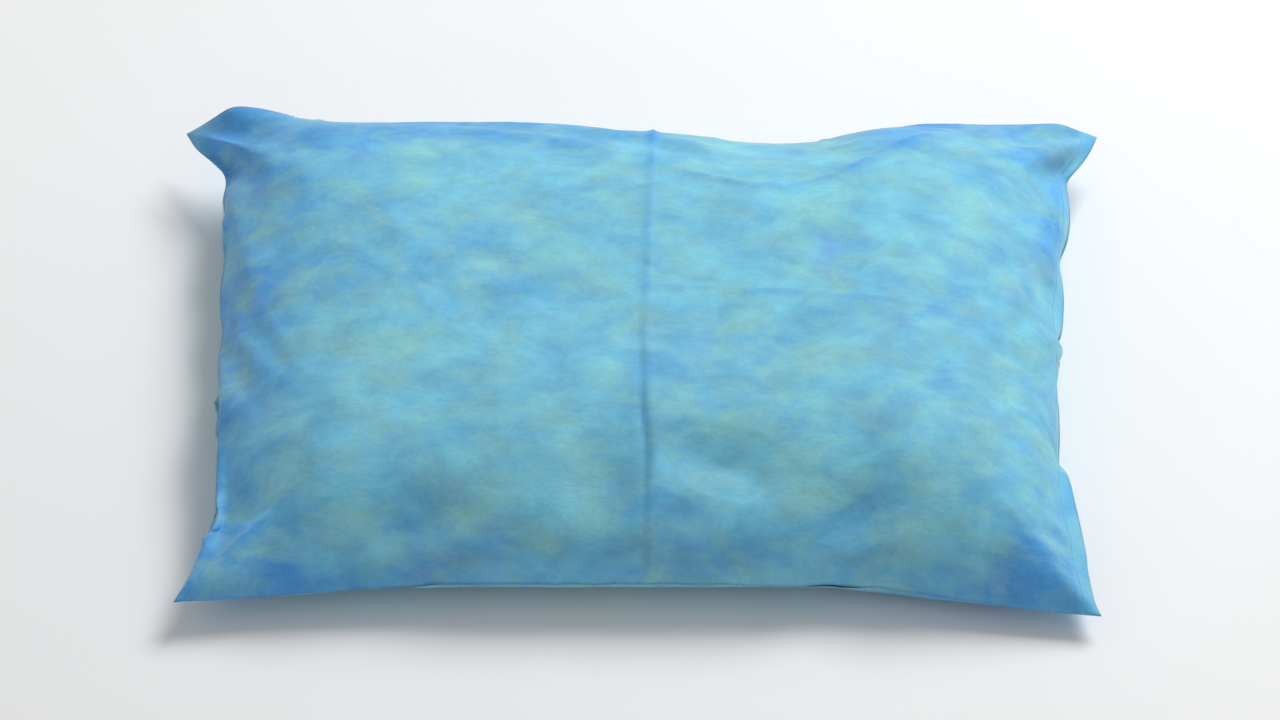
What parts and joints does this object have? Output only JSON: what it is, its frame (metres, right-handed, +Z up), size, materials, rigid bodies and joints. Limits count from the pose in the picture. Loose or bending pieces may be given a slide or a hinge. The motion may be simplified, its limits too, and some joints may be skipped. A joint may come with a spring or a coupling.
{
  "type": "bed pillow in disposable pillowcase",
  "caption": "Rectangular stuffed bed pillow inside a limp pale blue disposable nonwoven pillowcase with pointed corners, one hemmed open end and overlocked seams.",
  "frame": {"origin": "on the surface the pillow lies on, under the middle of the pillow", "axes": "+X along the pillow towards the open mouth of the case, +Y across it towards the far long side, +Z up"},
  "size_m": [0.735, 0.505, 0.12],
  "materials": {
    "nonwoven": "matt, slightly translucent spunbond",
    "case_thread": "spun polyester thread",
    "ticking": "plain weave cotton blend",
    "welt_tape": "bias-cut plain weave",
    "cord": "soft cotton cord",
    "ticking_thread": "spun polyester thread",
    "label": "blank satin tape",
    "fibre": "loose hollow polyester fibre"
  },
  "bodies": {
    "pillowcase": {"case_upper_panel": "nonwoven", "case_lower_panel": "nonwoven", "case_front_seam": "case_thread", "case_back_seam": "case_thread", "case_end_seam": "case_thread", "upper_hem_stitches": "case_thread", "lower_hem_stitches": "case_thread"},
    "pillow": {"ticking_upper_panel": "ticking", "ticking_lower_panel": "ticking", "welt_cover": "welt_tape", "welt_cord": "cord", "needle_thread": "ticking_thread", "bobbin_thread": "ticking_thread", "care_label": "label", "fibre_fill": "fibre"}
  },
  "joints": [
    {"name": "pillow_slide", "type": "slide", "parent": "pillowcase", "child": "pillow", "axis": [1, 0, 0], "range_m": [0, 0.72], "deforming": ["case_upper_panel", "case_lower_panel", "case_front_seam", "case_back_seam", "case_end_seam", "upper_hem_stitches", "lower_hem_stitches"]}
  ]
}
